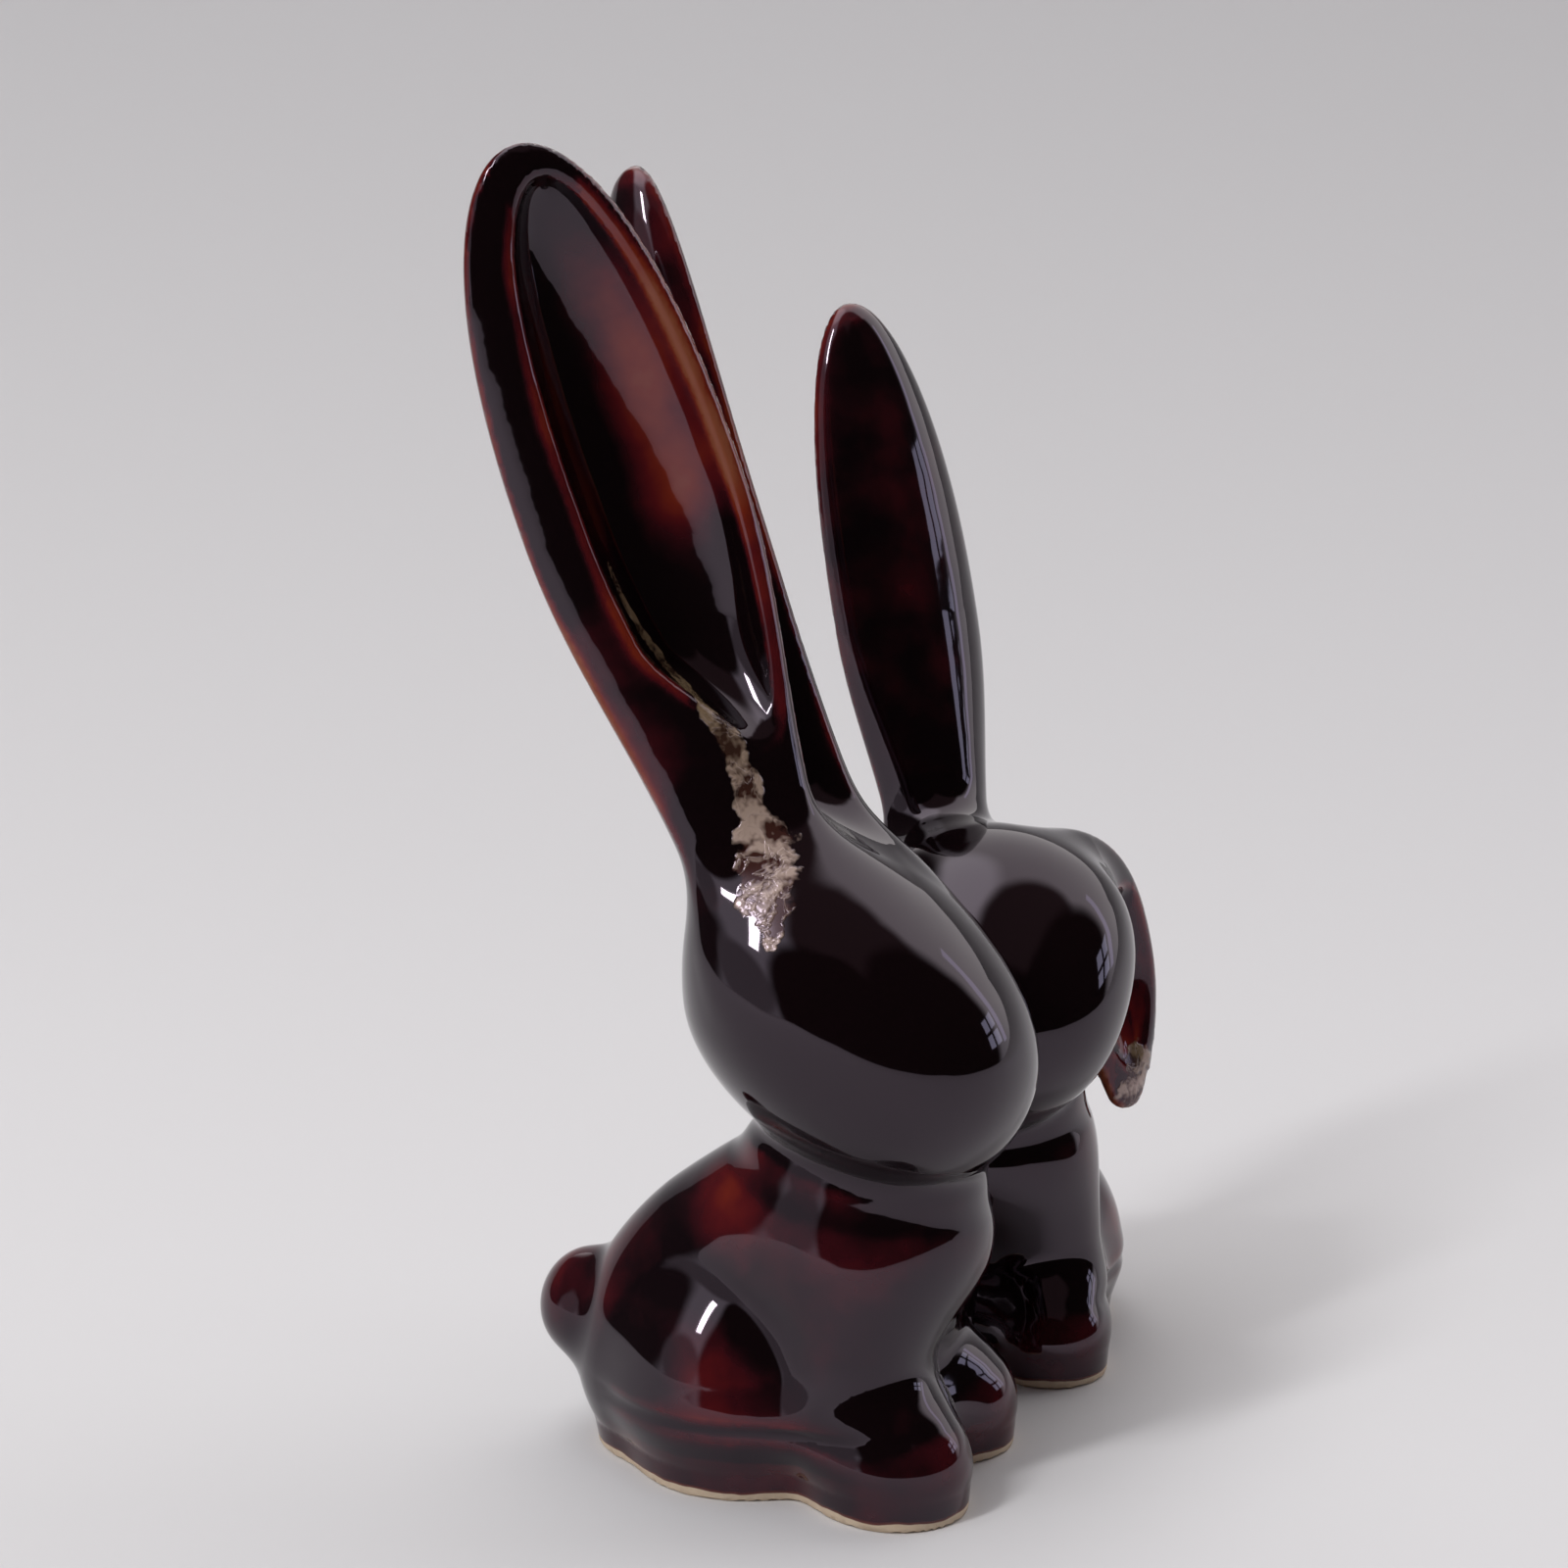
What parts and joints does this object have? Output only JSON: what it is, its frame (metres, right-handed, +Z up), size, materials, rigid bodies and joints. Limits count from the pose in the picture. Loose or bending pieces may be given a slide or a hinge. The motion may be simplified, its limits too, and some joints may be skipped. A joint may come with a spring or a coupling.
{
  "type": "ceramic rabbit figurine",
  "caption": "Glossy dark-glazed ceramic ornament: a tall and a small sitting rabbit, nose to cheek, with long dished ears and hollow bodies on flat foot rings.",
  "frame": {"origin": "middle of the outline seen from above, on the table the foot rings stand on", "axes": "+Z up; -Y the front of the pair, half way between the two faces; the tall rabbit is on the -X side and the small one on the +X side"},
  "size_m": [0.1166, 0.092, 0.176],
  "materials": {
    "glazed_earthenware": "glossy dark aubergine brown glaze over an opaque clay body"
  },
  "bodies": {
    "root": {"tall_rabbit_body": "glazed_earthenware", "tall_rabbit_head": "glazed_earthenware", "tall_rabbit_right_ear": "glazed_earthenware", "tall_rabbit_left_ear": "glazed_earthenware", "small_rabbit_body": "glazed_earthenware", "small_rabbit_head": "glazed_earthenware", "small_rabbit_raised_ear": "glazed_earthenware", "small_rabbit_folded_ear": "glazed_earthenware"}
  },
  "joints": []
}
